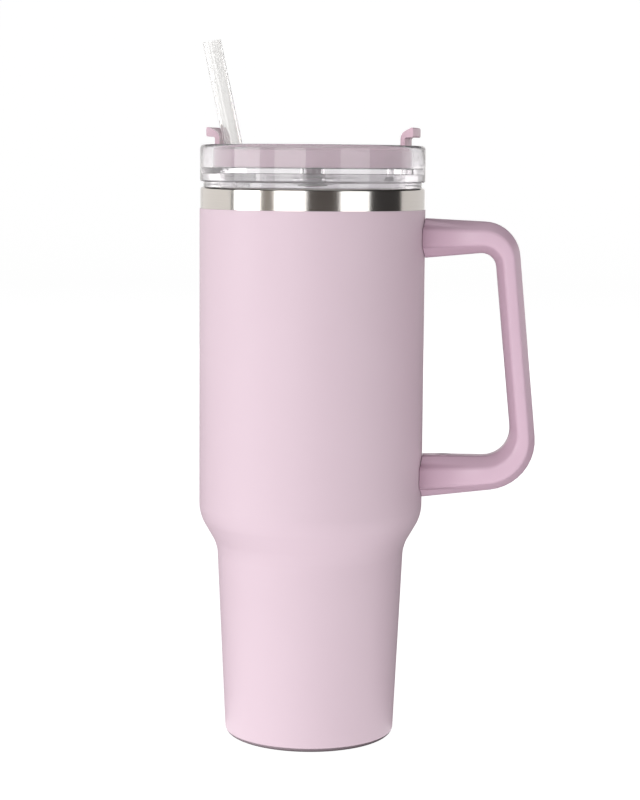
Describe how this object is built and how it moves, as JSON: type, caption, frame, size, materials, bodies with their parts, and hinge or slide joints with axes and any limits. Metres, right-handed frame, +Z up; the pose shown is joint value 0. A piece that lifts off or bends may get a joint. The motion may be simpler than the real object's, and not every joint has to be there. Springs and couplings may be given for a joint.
{
  "type": "insulated tumbler",
  "caption": "Tall double-wall steel tumbler that narrows at the base, with a side handle, a press-in clear lid, a turning cover and a leaning clear straw.",
  "frame": {"origin": "on the body's axis at the plane that it stands on", "axes": "+Z up along the body's axis, +X towards the handle"},
  "size_m": [0.1485, 0.099, 0.3078],
  "materials": {
    "powder_coat": "matte powder coat",
    "steel": "brushed",
    "copper": "thin copper foil",
    "seal_glass": "fused glass bead",
    "getter": "sintered pellet",
    "handle_plastic": "satin moulded",
    "cover_plastic": "satin moulded",
    "clear_plastic": "clear polished",
    "silicone": "translucent silicone",
    "clip_plastic": "natural moulded"
  },
  "bodies": {
    "cup": {"outer_shell": "powder_coat", "inner_liner": "steel", "copper_foil": "copper", "outer_base": "steel", "base_cover": "steel", "vacuum_seal": "seal_glass", "getter": "getter", "getter_cup": "steel", "handle": "handle_plastic", "bracket_upper": "steel", "bracket_lower": "steel", "handle_screws": "steel", "screw_plugs": "handle_plastic"},
    "lid": {"lid_body": "clear_plastic", "lid_gasket": "silicone", "straw_seal": "silicone"},
    "cover": {"rotating_cover": "cover_plastic", "sip_seal": "silicone", "pivot_o_ring": "silicone", "cover_clip": "clip_plastic"},
    "straw": {"straw": "clear_plastic"}
  },
  "joints": [
    {"name": "lid_lift", "type": "slide", "parent": "cup", "child": "lid", "axis": [0, 0, 1], "range_m": [0, 0.28]},
    {"name": "cover_turn", "type": "hinge", "parent": "lid", "child": "cover", "pos_m": [0, 0, 0.25], "axis": [0, 0, 1], "range_deg": [0, 40]},
    {"name": "straw_pull", "type": "slide", "parent": "lid", "child": "straw", "axis": [-0.2079, 0, 0.9781], "range_m": [0, 0.275]}
  ]
}
